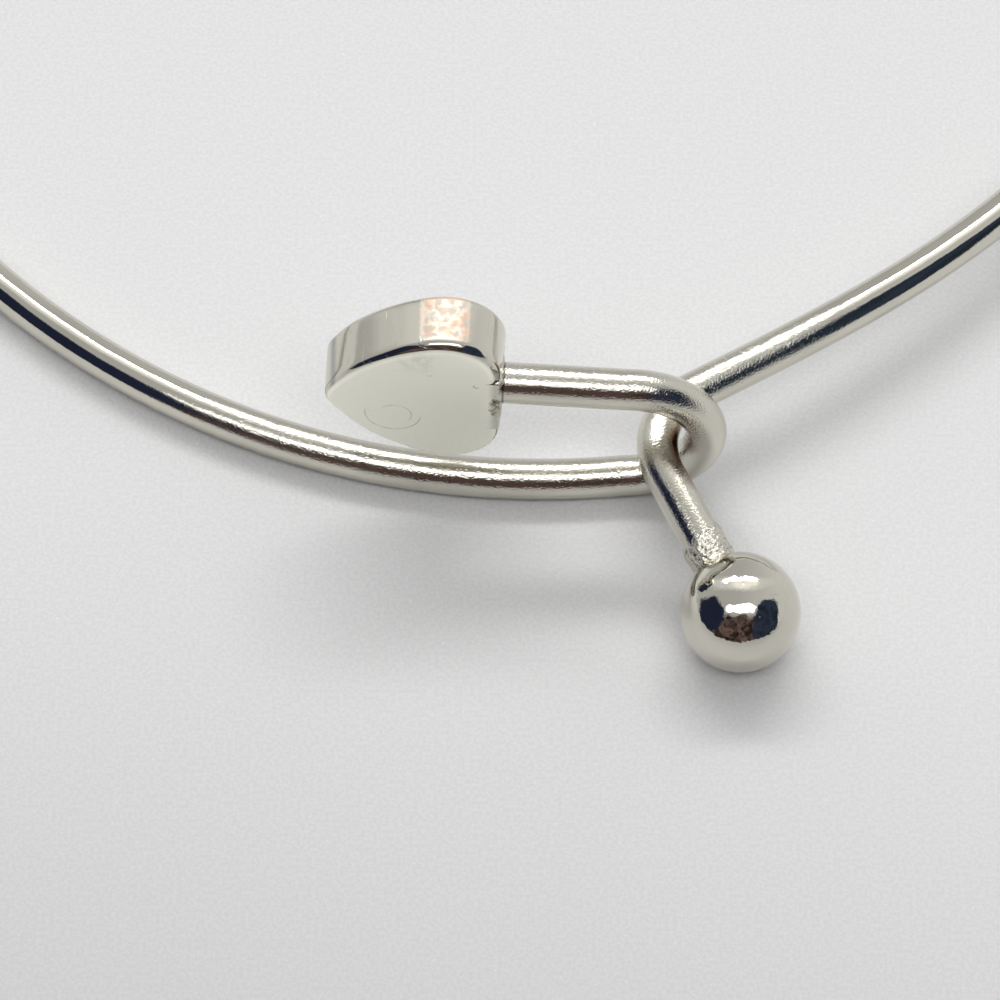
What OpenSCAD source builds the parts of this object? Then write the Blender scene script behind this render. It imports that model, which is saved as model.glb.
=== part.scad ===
// Charm bangle made of one springy round wire that closes on itself, in millimetres.
// The left end of the wire folds back over itself in an upright loop and ends in a flat heart. The
// right end is raised, bends forward through that loop as a hook and ends in a ball. Heart and ball
// are soldered to the wire, so the bangle is one solid. It lies as it rests on a table: the table is
// the plane z = 0, the middle of the ring is the origin, and the closure is at the front, towards -Y.

/* [Wire] */
// Diameter of the round wire
wire_d = 1.8; // [1.4:0.1:2.2]
// Clear gap between the hook and the loop that holds it
hook_gap = 0.15; // [0.1:0.05:0.5]

/* [Ring] */
// Clear width across the round stretch of the ring
inner_d = 65; // [56:1:72]
// How far the front stands out of round to carry the closure
front_bow = 2.5; // [1.5:0.1:5]
// Angle from the front at which the resting side leaves the round
left_from = 55; // [40:1:75]
// Angle from the front at which the raised side leaves the round
right_from = 61; // [50:1:80]
// Angle from the front at which the raised side leaves the table
rise_from = 127; // [100:1:160]

/* [Loop] */
// Height of the loop from leg to leg, centre to centre
loop_h = 7; // [6.6:0.1:9]
// How far right of the middle the loop starts to bend
loop_x = 6.4; // [4:0.1:9]
// How far the upper leg stands in front of the lower leg
loop_lean = 0.1; // [0:0.1:2]
// Angle by which the lower leg turns away from the closure's face
lower_turn = 6; // [0:0.5:10]
// Angle by which the upper leg swings back towards the heart
upper_turn = 4; // [0:1:10]
// Length of the straight upper leg from the bend to the heart's lobes
leg_l = 5.3; // [3.6:0.1:8]

/* [Hook] */
// Clear height between the lower leg and the hook that passes over it
hook_lift = 1.3; // [0.6:0.1:2.2]
// Radius of the hook's bend
hook_r = 3.2; // [2.6:0.1:5]
// How far the hook's bend reaches in front of the loop
hook_fore = 0.4; // [0:0.1:1]
// Direction of the raised side as it enters the bend, from the line to the right
hook_in = 32.5; // [25:0.5:48]
// Direction of the stem as it leaves the bend, from the line to the front
hook_out = 27; // [10:0.5:40]
// Length of the stem from the bend to the middle of the ball
stem_l = 6.85; // [5:0.05:10]

/* [Ball] */
// Diameter of the ball
ball_d = 5.2; // [4:0.1:7]

/* [Heart] */
// Length of the heart from its lobes to its tip
heart_l = 7.7; // [6.4:0.1:10]
// Width of the heart across both lobes
heart_w = 8.7; // [7.4:0.1:11]
// Thickness of the heart
heart_t = 2.7; // [2:0.1:4]
// Radius of each lobe
lobe_r = 2.45; // [1.9:0.05:2.9]
// Radius of the blunt tip
tip_r = 1.2; // [0.6:0.05:1.8]
// Radius of the long bulging sides
side_r = 7.5; // [6.5:0.1:14]
// Radius of the rounded rims
rim_r = 0.3; // [0.1:0.05:0.5]
// Turn of the heart in its own plane, tip upwards
heart_roll = 1; // [-10:1:10]
// How far the heart's middle line sits above the wire's
heart_up = 0.1; // [-0.4:0.05:0.4]

/* [Solder] */
// Thickness of the solder crust round the wire at the ball
crust_t = 0.2; // [0.05:0.05:0.5]
// Length of the crust that shows between wire and ball
crust_l = 1.2; // [0.5:0.1:2]
// Radius of the solder fillet that fills the notch between the heart's lobes
fill_r = 1; // [0.6:0.1:1.6]
// Thickness of the solder that creeps out round the wire at the heart
seam_t = 0.1; // [0.05:0.05:0.3]
// Length of that solder outside the notch
seam_l = 0.4; // [0.2:0.1:0.8]

/* [Hidden] */

// Flat faces round the wire
wire_sides = 16;
// Largest turn between two cross sections of a bend
bend_step = 12;
// Turn between two cross sections of the round stretch
ring_step = 4.5;
// Cross sections along each sweep that leaves the round
sweep_steps = 12;

wire_r = wire_d / 2;
ball_r = ball_d / 2;
loop_r = loop_h / 2;
ring_r = inner_d / 2 + wire_r;

// The points below are [x, y, z]
function unit(v) = v / norm(v);
function turn(a) = [cos(a), sin(a), 0];
function drop(p) = [for (i = [1 : len(p) - 1]) p[i]];
function bezier(a, b, c, d, t) =
    a * pow(1 - t, 3) + b * 3 * pow(1 - t, 2) * t + c * 3 * (1 - t) * t * t + d * pow(t, 3);

// A point of the round stretch at an angle from the front, counted towards the right
function ring_at(a) = [ring_r * sin(a), -ring_r * cos(a), wire_r];

// Loop: foot is where the lower leg ends, head where the upper leg begins
loop_foot = [loop_x, -(ring_r + front_bow), wire_r];
loop_head = loop_foot + [0, -loop_lean, loop_h];
loop_mid = (loop_foot + loop_head) / 2;
leg_way = turn(180 - upper_turn);
heart_at = loop_head + leg_l * leg_way;
// The upper leg runs on into the heart past the notch between its lobes
leg_bite = heart_l / 3;
upper_leg = [for (d = [leg_l + leg_bite, leg_l, leg_l - seam_l, leg_l / 2]) loop_head + d * leg_way];
loop_bend = [for (k = [0 : 180 / bend_step])
    loop_mid + loop_r * sin(k * bend_step) * [1, 0, 0] + cos(k * bend_step) * (loop_head - loop_mid)];

// Resting side: from the loop's foot back to the round
left_pull = [0.48, 0.32];
left_end = ring_at(-left_from);
left_sweep = [for (k = [1 : sweep_steps]) bezier(
    loop_foot,
    loop_foot - left_pull[0] * ring_r * turn(lower_turn),
    left_end + left_pull[1] * ring_r * turn(-left_from),
    left_end,
    k / sweep_steps)];

// Hook: it lies inside the loop's bend, one gap away from it. Its wire slants through the loop, so
// the foremost point of its bend stands a little further from the bend than the gap alone asks.
hook_z = wire_r + wire_d + hook_lift;
hook_room = loop_r - wire_d - hook_gap;
hook_slant = hook_r - sqrt(hook_r * hook_r - pow(hook_fore + wire_r / 2, 2));
hook_tip_x = loop_x + sqrt(max(0, hook_room * hook_room - pow(hook_z - loop_mid[2], 2))) - hook_slant;
loop_share = (hook_z - wire_r) / loop_h;
hook_tip = [hook_tip_x, loop_foot[1] - loop_lean * loop_share - hook_fore, hook_z];
hook_axis = hook_tip + [hook_r, 0, 0];
hook_turn = 90 - hook_in;
function hook_at(a) = hook_axis - hook_r * turn(a);
hook_start = hook_at(-hook_turn);
hook_end = hook_at(hook_out);
stem_way = turn(hook_out - 90);
ball_at = [hook_end[0] + stem_l * stem_way[0], hook_end[1] + stem_l * stem_way[1], ball_r];

// The wire falls from the hook's tip to the ball, gently at first
fall_l = hook_r * hook_out * PI / 180 + stem_l;
fall_power = 1.3;
function fall(s) = (ball_r - hook_z) * pow(s / fall_l, fall_power);
hook_steps = ceil((hook_turn + hook_out) / bend_step) + 1;
hook_bend = [for (k = [0 : hook_steps])
    let (a = (hook_turn + hook_out) * k / hook_steps - hook_turn)
    hook_at(a) + [0, 0, fall(hook_r * max(0, a) * PI / 180)]];
stem_bare = stem_l - ball_r - crust_l;
stem_stops = [stem_bare / 3, stem_bare * 2 / 3, stem_bare, stem_bare + crust_l * 0.4,
    stem_bare + crust_l, stem_l - ball_r / 2];
stem = [for (d = stem_stops) hook_end + d * stem_way + [0, 0, fall(fall_l - stem_l + d)]];

// Raised side: from the round to the hook's bend, climbing evenly from where it leaves the table
right_pull = [0.3, 0.16];
right_end = ring_at(right_from);
right_flat = [for (k = [1 : sweep_steps - 1]) bezier(
    right_end,
    right_end - right_pull[0] * ring_r * turn(right_from),
    [hook_start[0], hook_start[1], wire_r] + right_pull[1] * ring_r * turn(hook_in),
    [hook_start[0], hook_start[1], wire_r],
    k / sweep_steps)];
round_turn = 360 - left_from - right_from;
round_steps = ceil(round_turn / ring_step);
round_flat = [for (k = [1 : round_steps]) ring_at(-left_from - round_turn * k / round_steps)];
function from_front(p) = atan2(abs(p[0]), -p[1]);
function climb(p) = p[0] > 0 ? max(0, (rise_from - from_front(p)) / (rise_from - hook_from)) : 0;
hook_from = from_front(hook_start);
function lifted(p) = [p[0], p[1], wire_r + (hook_z - wire_r) * climb(p)];
right_side = [for (p = concat(round_flat, right_flat)) lifted(p)];

// Whole centre line from the heart to the ball
wire_path = concat(upper_leg, loop_bend, left_sweep, right_side, hook_bend, stem);
last = len(wire_path) - 1;

// Radius of the wire and of the solder round it at each point of the centre line
crust_radii = [wire_r, wire_r + crust_t, wire_r + crust_t, wire_r];
function radius(i) =
    i < 2 ? wire_r + seam_t :
    i > last - 4 ? crust_radii[i - last + 3] :
    wire_r;

// Direction of the centre line at each point, and a side direction that follows it without twisting
function step(i) = i < 0 || i >= last ? [0, 0, 0] : unit(wire_path[i + 1] - wire_path[i]);
way = [for (i = [0 : last]) unit(step(i - 1) + step(i))];
function level(v, n) = unit(v - (v * n) * n);
side = [for (i = 0, v = level([0, 1, 0], way[0]); i <= last; i = i + 1,
    v = i <= last ? level(v, way[i]) : v) v];
function section(i) = [for (k = [0 : wire_sides - 1])
    let (a = 360 * k / wire_sides)
    wire_path[i] + radius(i) * (cos(a) * side[i] + sin(a) * cross(way[i], side[i]))];

// Faces that join equal rows of points, with a flat face at both ends
function skin(rows, row_n) = concat(
    [[for (k = [0 : row_n - 1]) k]],
    [for (i = [0 : rows - 2]) for (k = [0 : row_n - 1])
        let (a = i * row_n + k, b = i * row_n + (k + 1) % row_n)
        each [[a, a + row_n, b], [b, a + row_n, b + row_n]]],
    [[for (k = [row_n - 1 : -1 : 0]) (rows - 1) * row_n + k]]);

// Heart outline: [x, y] with the tip at x = heart_l, the lobes touching x = 0, and y across.
// Four arcs that touch make each half: the tip, the side, the lobe and the fillet in the notch.
tip_c = [heart_l - tip_r, 0];
lobe_c = [lobe_r, heart_w / 2 - lobe_r];
reach = norm(lobe_c - tip_c);
along = (pow(side_r - tip_r, 2) - pow(side_r - lobe_r, 2) + reach * reach) / (2 * reach);
off = sqrt(max(0, pow(side_r - tip_r, 2) - along * along));
to_lobe = (lobe_c - tip_c) / reach;
side_c = tip_c + along * to_lobe + off * [to_lobe[1], -to_lobe[0]] * -1;
function bearing(v) = atan2(v[1], v[0]);
function arc(c, r, a, b, n) = [for (k = [0 : n]) [c[0], c[1], r, a + (b - a) * k / n]];
tip_to = bearing(tip_c - side_c);
lobe_to = bearing(lobe_c - side_c);
fill_c = [lobe_r - sqrt(max(0, pow(lobe_r + fill_r, 2) - pow(lobe_c[1], 2))), 0];
fill_to = 360 + bearing(fill_c - lobe_c);
// An arc with a negative radius bends inwards, so that an inset moves its points the same way
half_heart = concat(
    arc(tip_c, tip_r, 0, tip_to, 5),
    drop(arc(side_c, side_r, tip_to, lobe_to, 6)),
    drop(arc(lobe_c, lobe_r, lobe_to, fill_to, 10)),
    drop(arc(fill_c, -fill_r, fill_to, 180, 3)));
function inset(h, e, y) = [h[0] + (h[2] - e) * cos(h[3]), y * (h[1] + (h[2] - e) * sin(h[3]))];
function outline(e) = concat(
    [for (h = half_heart) inset(h, e, 1)],
    [for (i = [len(half_heart) - 2 : -1 : 1]) inset(half_heart[i], e, -1)]);

// Heart layers through its thickness: [depth, how far the outline is drawn in]
rim = [for (a = [0 : 30 : 90]) [heart_t / 2 - rim_r * (1 - cos(a)), rim_r * (1 - sin(a))]];
heart_layers = concat([for (k = rim) k], [for (i = [3 : -1 : 0]) [-rim[i][0], rim[i][1]]]);
heart_points = [for (l = heart_layers) for (p = outline(l[1])) [p[0], l[0], p[1]]];

module wire() {
    polyhedron([for (i = [0 : last]) each section(i)], skin(last + 1, wire_sides), convexity = 6);
}

module heart() {
    translate(heart_at + [0, 0, heart_up])
        rotate([0, 0, 180 - upper_turn])
            rotate([0, -heart_roll, 0])
                polyhedron(heart_points, skin(len(heart_layers), len(outline(0))), convexity = 4);
}

module ball() {
    translate(ball_at) sphere(r = ball_r, $fn = 64);
}

module bangle() {
    color("silver") union() {
        wire();
        heart();
        ball();
    }
}

bangle();
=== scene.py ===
"""Looks of a charm bangle: a springy plated wire, a flat heart, a ball and the solder at both.

Lengths are in millimetres, as on a maker's drawing, and MM turns them into the scene's metres. The
ring's middle is the origin and the table is z = 0. The closure is at the front, towards -Y.
"""

import logging
import math
from dataclasses import dataclass, field
from enum import Enum
from typing import Callable, Sequence, Union

import bmesh
import bpy
from mathutils import Matrix, Vector, noise


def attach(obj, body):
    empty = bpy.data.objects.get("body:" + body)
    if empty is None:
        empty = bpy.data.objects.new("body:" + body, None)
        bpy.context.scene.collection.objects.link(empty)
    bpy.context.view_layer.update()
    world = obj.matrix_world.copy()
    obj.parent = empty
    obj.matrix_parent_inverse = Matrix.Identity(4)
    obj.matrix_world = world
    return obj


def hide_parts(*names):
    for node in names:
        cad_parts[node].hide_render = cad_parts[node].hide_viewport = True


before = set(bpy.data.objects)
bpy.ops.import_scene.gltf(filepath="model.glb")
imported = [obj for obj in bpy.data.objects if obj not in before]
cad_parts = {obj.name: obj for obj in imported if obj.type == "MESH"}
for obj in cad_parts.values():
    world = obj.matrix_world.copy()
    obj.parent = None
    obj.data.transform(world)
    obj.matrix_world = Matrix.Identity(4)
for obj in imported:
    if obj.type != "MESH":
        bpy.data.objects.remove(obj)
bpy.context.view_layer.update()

LOG = logging.getLogger("charm_bangle")
MM = 0.001
BODY = "root"
NODE = "bangle"

Triple = tuple[float, float, float]
Colour = Triple
Reach = tuple[float, float]
Face = tuple[int, ...]
Skin = tuple[list[Vector], list[Face]]
Socket = bpy.types.NodeSocket
RIGHT = Vector((1.0, 0.0, 0.0))
UP = Vector((0.0, 0.0, 1.0))


class Slot(Enum):
    """Material slots of the record, one given to each piece."""

    WIRE = "plated_wire"
    BALL = "plated_ball"
    HEART = "plated_heart"
    SOLDER = "solder"


def spot(x: float, y: float, z: float) -> Vector:
    """Place or direction that a dataclass field starts with."""
    return field(default_factory=lambda: Vector((x, y, z)))


def turn(angle: float) -> Vector:
    """Level direction at an angle in degrees from +X towards +Y."""
    return Vector((math.cos(math.radians(angle)), math.sin(math.radians(angle)), 0.0))


def bearing(v: Vector) -> float:
    """Bearing of a flat vector, in degrees."""
    return math.degrees(math.atan2(v.y, v.x))


def lerp(low: float, high: float, share: float) -> float:
    """Value that lies a share of the way from low to high."""
    return low + (high - low) * share


def smooth(low: float, high: float, value: float) -> float:
    """Share from 0 to 1 that eases in at low and out at high."""
    t = min(1.0, max(0.0, (value - low) / (high - low)))
    return t * t * (3.0 - 2.0 * t)


def bezier(a: Vector, b: Vector, c: Vector, d: Vector, t: float) -> Vector:
    """Point at t of the cubic curve that leaves a towards b and reaches d from c."""
    s = 1.0 - t
    return a * s ** 3 + b * (3 * s * s * t) + c * (3 * s * t * t) + d * t ** 3


def rounded(step: int, steps: int) -> tuple[float, float]:
    """Rise and run of a quarter round at one of its steps, as shares of its radius."""
    angle = math.radians(90 * step / steps)
    return 1 - math.cos(angle), 1 - math.sin(angle)


def make_mesh(name: str, points: Sequence[Vector], faces: Sequence[Face]) -> bpy.types.Object:
    """Makes a smooth-shaded object from points in millimetres.

    Args:
        name: Name of the piece.
        points: Corners, in millimetres.
        faces: Corner numbers of each face.

    Returns:
        The new object, at the origin of the scene.
    """
    mesh = bpy.data.meshes.new(name)
    mesh.from_pydata([p * MM for p in points], [], faces)
    mesh.validate()
    mesh.shade_smooth()
    piece = bpy.data.objects.new(name, mesh)
    bpy.context.scene.collection.objects.link(piece)
    return piece


def loft(rows: Sequence[Sequence[Vector]]) -> Skin:
    """Joins equal closed rows of points into one skin and closes both ends with a middle point.

    Args:
        rows: Rows of points, each round the same way.

    Returns:
        The points and faces of the closed skin.
    """
    count = len(rows[0])
    points = [p for row in rows for p in row]
    faces = []
    for i in range(len(rows) - 1):
        for k in range(count):
            a, b = i * count + k, i * count + (k + 1) % count
            faces.append((a, a + count, b + count, b))
    last = (len(rows) - 1) * count
    for row, start, way in ((rows[0], 0, 1), (rows[-1], last, -1)):
        middle = len(points)
        points.append(sum(row, Vector()) / count)
        for k in range(count):
            pair = (start + k, start + (k + 1) % count)[::way]
            faces.append((middle, *pair))
    return points, faces


def sweep(path: Sequence[Vector], sides: int, radius: Callable[[int, float], float]) -> list[list[Vector]]:
    """Round sections along a path, without twist.

    Args:
        path: Points of the centre line.
        sides: Points round each section.
        radius: Radius at a section's number and at an angle round it, in degrees.

    Returns:
        One row of points for each point of the path.
    """
    rows = []
    side = Vector((0.0, 1.0, 0.0))
    for i, at in enumerate(path):
        way = (path[min(i + 1, len(path) - 1)] - path[max(i - 1, 0)]).normalized()
        side = (side - side.dot(way) * way).normalized()
        over = way.cross(side)
        row = []
        for k in range(sides):
            a = 360.0 * k / sides
            out = math.cos(math.radians(a)) * side + math.sin(math.radians(a)) * over
            row.append(at + radius(i, a) * out)
        rows.append(row)
    return rows


def even_sphere(level: int, radius: float) -> Skin:
    """Sphere of even triangles round the origin.

    Args:
        level: How often the icosahedron's triangles are divided.
        radius: Radius, in millimetres.

    Returns:
        The sphere's points and faces.
    """
    grid = bmesh.new()
    bmesh.ops.create_icosphere(grid, subdivisions=level, radius=radius)
    points = [v.co.copy() for v in grid.verts]
    faces = [tuple(v.index for v in f.verts) for f in grid.faces]
    grid.free()
    return points, faces


class Net:
    """Node tree of a finish, with the few calls that the finishes need."""

    def __init__(self, tree: bpy.types.NodeTree) -> None:
        """Takes a tree and empties it."""
        self.tree = tree
        tree.nodes.clear()

    def node(self, kind: str, settings: dict[str, object] | None = None,
             values: dict[str | int, object] | None = None) -> bpy.types.Node:
        """Adds a node.

        Args:
            kind: Blender's name of the node's type.
            settings: Properties, set before anything else.
            values: Numbers, colours or links of its sockets, by name or number.

        Returns:
            The new node.
        """
        node = self.tree.nodes.new(kind)
        for name, value in (settings or {}).items():
            setattr(node, name, value)
        for name, value in (values or {}).items():
            if isinstance(value, Field):
                value = value.socket
            if isinstance(value, Socket):
                self.tree.links.new(value, node.inputs[name])
            else:
                node.inputs[name].default_value = value
        return node

    def maths(self, operation: str, *values: "Number") -> "Field":
        """Number that a Math node works out."""
        node = self.node("ShaderNodeMath", {"operation": operation}, dict(enumerate(values)))
        return Field(self, node.outputs[0])

    def vectors(self, operation: str, *values: object) -> bpy.types.Node:
        """Vector Math node on vectors."""
        return self.node("ShaderNodeVectorMath", {"operation": operation}, dict(enumerate(values)))

    def dot(self, first: object, second: object) -> "Field":
        """Dot product of two vectors."""
        return Field(self, self.vectors("DOT_PRODUCT", first, second).outputs["Value"])

    def mix(self, share: "Number", first: object, second: object) -> Socket:
        """Colour that goes from first to second as share goes from 0 to 1."""
        values = {0: share, 6: opaque(first), 7: opaque(second)}
        return self.node("ShaderNodeMix", {"data_type": "RGBA"}, values).outputs[2]

    def noise(self, at: object, lump: float, detail: float = 2.0, warp: float = 0.0) -> "Field":
        """Noise from 0 to 1 whose lumps have a size in millimetres."""
        values = {"Vector": at, "Scale": 1.0 / (lump * MM), "Detail": detail, "Distortion": warp}
        return Field(self, self.node("ShaderNodeTexNoise", None, values).outputs["Fac"])

    def place(self) -> Socket:
        """Place on the object, in metres."""
        return self.node("ShaderNodeTexCoord").outputs["Object"]

    def stretched(self, at: object, times: Triple, turned: Triple = (0.0, 0.0, 0.0)) -> Socket:
        """Place that is turned, in radians, and then drawn out along each axis."""
        values = {"Vector": at, "Scale": tuple(1.0 / t for t in times), "Rotation": turned}
        return self.node("ShaderNodeMapping", {"vector_type": "POINT"}, values).outputs[0]

    def apart(self, at: object, place: Vector) -> "Field":
        """Distance from a point in metres to a place in millimetres, in millimetres."""
        far = self.vectors("DISTANCE", at, tuple(place * MM)).outputs["Value"]
        return Field(self, far) / MM

    def along(self, at: object, start: Vector, way: Vector) -> "Field":
        """How far a place in metres lies beyond a start in millimetres, in millimetres."""
        return self.dot(at, tuple(way)) / MM - start.dot(way)


@dataclass(frozen=True)
class Field:
    """A number that varies over a surface: a socket that takes Python's operators."""

    net: Net
    socket: Socket

    def __add__(self, other: "Number") -> "Field":
        """Sum."""
        return self.net.maths("ADD", self, other)

    __radd__ = __add__

    def __sub__(self, other: "Number") -> "Field":
        """Difference."""
        return self.net.maths("SUBTRACT", self, other)

    def __rsub__(self, other: "Number") -> "Field":
        """Difference from a number, as in 1 - mask."""
        return self.net.maths("SUBTRACT", other, self)

    def __mul__(self, other: "Number") -> "Field":
        """Product."""
        return self.net.maths("MULTIPLY", self, other)

    __rmul__ = __mul__

    def __truediv__(self, other: "Number") -> "Field":
        """Quotient."""
        return self.net.maths("DIVIDE", self, other)

    def smooth(self, low: float, high: float) -> "Field":
        """Eases from 0 to 1 between two values.

        Args:
            low: Value that gives 0.
            high: Value that gives 1, which may be the lower one.

        Returns:
            The share, from 0 to 1.
        """
        values = {"Value": self, "From Min": low, "From Max": high}
        node = self.net.node("ShaderNodeMapRange", {"interpolation_type": "SMOOTHSTEP"}, values)
        return Field(self.net, node.outputs[0])

    def line(self, middle: float, half: float) -> "Field":
        """Rises to 1 at middle and falls to 0 a half width away from it."""
        return self.net.maths("ABSOLUTE", self - middle).smooth(half, 0.0)


Number = Union[Field, float]


def opaque(colour: object) -> object:
    """Gives a plain colour the alpha that a colour socket takes, and leaves a link as it is."""
    return (*colour, 1.0) if isinstance(colour, tuple) else colour


def make_material(name: str, look: Callable[[Net, Socket], dict[str, object]]) -> bpy.types.Material:
    """Makes a material.

    Args:
        name: Name of the material.
        look: Gives the values of the shader's sockets, from the node tree and the place in metres.

    Returns:
        The new material.
    """
    material = bpy.data.materials.new(name)
    material.use_nodes = True
    net = Net(material.node_tree)
    shader = net.node("ShaderNodeBsdfPrincipled", None, look(net, net.place()))
    net.node("ShaderNodeOutputMaterial", None, {"Surface": shader.outputs[0]})
    return material


@dataclass
class CentreLine:
    """Centre line of the wire, from inside the heart to inside the ball."""

    wire_d: float = 1.8
    hook_gap: float = 0.15
    inner_d: float = 65.0
    front_bow: float = 2.5
    left_from: float = 55.0
    right_from: float = 61.0
    rise_from: float = 127.0
    loop_h: float = 7.0
    loop_x: float = 6.4
    loop_lean: float = 0.1
    lower_turn: float = 6.0
    upper_turn: float = 4.0
    leg_l: float = 5.3
    leg_bite: float = 2.57
    hook_lift: float = 1.3
    hook_r: float = 3.2
    hook_fore: float = 0.4
    hook_in: float = 32.5
    hook_out: float = 27.0
    stem_l: float = 6.85
    ball_d: float = 5.2
    left_pull: tuple[float, float] = (0.48, 0.32)
    right_pull: tuple[float, float] = (0.3, 0.16)
    fall_power: float = 1.3
    rise_ease: float = 0.06
    bend_step: float = 3.0
    ring_step: float = 1.5
    sweep_steps: int = 60
    straight_step: float = 0.3

    def __post_init__(self) -> None:
        """Works out the places that the pieces share."""
        self.wire_r = self.wire_d / 2
        self.ring_r = self.inner_d / 2 + self.wire_r
        self.loop_r = self.loop_h / 2
        self.loop_foot = Vector((self.loop_x, -(self.ring_r + self.front_bow), self.wire_r))
        self.loop_head = self.loop_foot + Vector((0.0, -self.loop_lean, self.loop_h))
        self.loop_mid = (self.loop_foot + self.loop_head) / 2
        self.leg_way = turn(180 - self.upper_turn)
        self.heart_at = self.loop_head + self.leg_l * self.leg_way
        self.hook_z = self.wire_r + self.wire_d + self.hook_lift
        room = self.loop_r - self.wire_d - self.hook_gap
        slant = self.hook_r - math.sqrt(self.hook_r ** 2 - (self.hook_fore + self.wire_r / 2) ** 2)
        tip_x = self.loop_x + math.sqrt(max(0.0, room ** 2 - (self.hook_z - self.loop_mid.z) ** 2)) - slant
        share = (self.hook_z - self.wire_r) / self.loop_h
        tip = Vector((tip_x, self.loop_foot.y - self.loop_lean * share - self.hook_fore, self.hook_z))
        self.hook_axis = tip + Vector((self.hook_r, 0.0, 0.0))
        self.hook_turn = 90 - self.hook_in
        self.hook_start = self.hook_at(-self.hook_turn)
        self.stem_way = turn(self.hook_out - 90)
        self.stem_from = self.hook_at(self.hook_out)
        self.ball_at = self.stem_from + self.stem_l * self.stem_way
        self.ball_at.z = self.ball_d / 2
        self.fall_l = self.hook_r * math.radians(self.hook_out) + self.stem_l

    def ring_at(self, angle: float) -> Vector:
        """Point of the round stretch at an angle from the front towards the right."""
        a = math.radians(angle)
        return Vector((self.ring_r * math.sin(a), -self.ring_r * math.cos(a), self.wire_r))

    def hook_at(self, angle: float) -> Vector:
        """Point of the hook's bend, level with its tip."""
        return self.hook_axis - self.hook_r * turn(angle)

    def leg_at(self, d: float) -> Vector:
        """Point of the upper leg at a distance from the loop's bend."""
        return self.loop_head + d * self.leg_way

    def stem_at(self, d: float) -> Vector:
        """Point of the stem at a distance from the hook's bend."""
        return self.fallen(self.stem_from + d * self.stem_way, self.fall_l - self.stem_l + d)

    def fallen(self, at: Vector, s: float) -> Vector:
        """Lowers a point that lies a length s of wire past the hook's tip."""
        drop = (self.ball_d / 2 - self.hook_z) * (max(0.0, s) / self.fall_l) ** self.fall_power
        return at + Vector((0.0, 0.0, drop))

    def lifted(self, at: Vector) -> Vector:
        """Raises a point of the raised side, which climbs evenly from the back to the hook.

        Args:
            at: Point of the wire as it would lie flat.

        Returns:
            The same point at its height.
        """
        if at.x <= 0:
            return at
        hook_from = math.degrees(math.atan2(self.hook_start.x, -self.hook_start.y))
        here = math.degrees(math.atan2(at.x, -at.y))
        t = (self.rise_from - here) / (self.rise_from - hook_from)
        climb = (t + math.sqrt(t * t + self.rise_ease ** 2)) / 2
        return at + Vector((0.0, 0.0, (self.hook_z - self.wire_r) * climb))

    def straight(self, start: float, end: float) -> list[float]:
        """Distances along a straight stretch, from start to just before end."""
        count = max(1, round(abs(end - start) / self.straight_step))
        return [lerp(start, end, k / count) for k in range(count)]

    def left_side(self) -> list[Vector]:
        """Resting side, from the loop's foot to the round stretch.

        Returns:
            Points of the side, without its two ends.
        """
        end = self.ring_at(-self.left_from)
        start_pull = self.loop_foot - self.left_pull[0] * self.ring_r * turn(self.lower_turn)
        end_pull = end + self.left_pull[1] * self.ring_r * turn(-self.left_from)
        steps = self.sweep_steps
        return [bezier(self.loop_foot, start_pull, end_pull, end, k / steps) for k in range(1, steps)]

    def right_side(self) -> list[Vector]:
        """Raised side, from the left end of the round stretch to the hook's bend.

        Returns:
            Points of the side, without its end at the hook.
        """
        span = 360 - self.left_from - self.right_from
        steps = math.ceil(span / self.ring_step)
        flat = [self.ring_at(-self.left_from - span * k / steps) for k in range(steps + 1)]
        foot = Vector((self.hook_start.x, self.hook_start.y, self.wire_r))
        start = self.ring_at(self.right_from)
        start_pull = start - self.right_pull[0] * self.ring_r * turn(self.right_from)
        end_pull = foot + self.right_pull[1] * self.ring_r * turn(self.hook_in)
        steps = self.sweep_steps
        flat += [bezier(start, start_pull, end_pull, foot, k / steps) for k in range(1, steps)]
        return [self.lifted(p) for p in flat]

    def hook(self) -> list[Vector]:
        """Bend of the hook, which begins to fall towards the ball past its tip.

        Returns:
            Points of the bend, with both of its ends.
        """
        whole = self.hook_turn + self.hook_out
        steps = math.ceil(whole / self.bend_step)
        points = []
        for k in range(steps + 1):
            a = whole * k / steps - self.hook_turn
            points.append(self.fallen(self.hook_at(a), self.hook_r * math.radians(a)))
        return points

    def points(self) -> list[Vector]:
        """Whole centre line.

        Returns:
            Points from inside the heart, round the loop, the ring and the hook, to inside the ball.
        """
        leg = [self.leg_at(d) for d in self.straight(self.leg_l + self.leg_bite, 0.0)]
        across = self.loop_head - self.loop_mid
        turns = [math.radians(a) for a in range(0, 181, round(self.bend_step))]
        bend = [
            self.loop_mid + Vector((self.loop_r * math.sin(a), 0, 0)) + across * math.cos(a)
            for a in turns
        ]
        stem_end = self.stem_l - self.ball_d / 4
        stem = [self.stem_at(d) for d in self.straight(0.0, stem_end)[1:]]
        return leg + bend + self.left_side() + self.right_side() + self.hook() + stem


SILVER_LIGHT: Colour = (0.67, 0.65, 0.57)
SILVER_SHADE: Colour = (0.625, 0.605, 0.53)
# Painted light: the brighter colour of the heart's face and of the notch solder's face, a painted
# reflection of the bright table.
FACE_PAINTED_LIGHT: Colour = (0.97, 0.96, 0.84)


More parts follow.
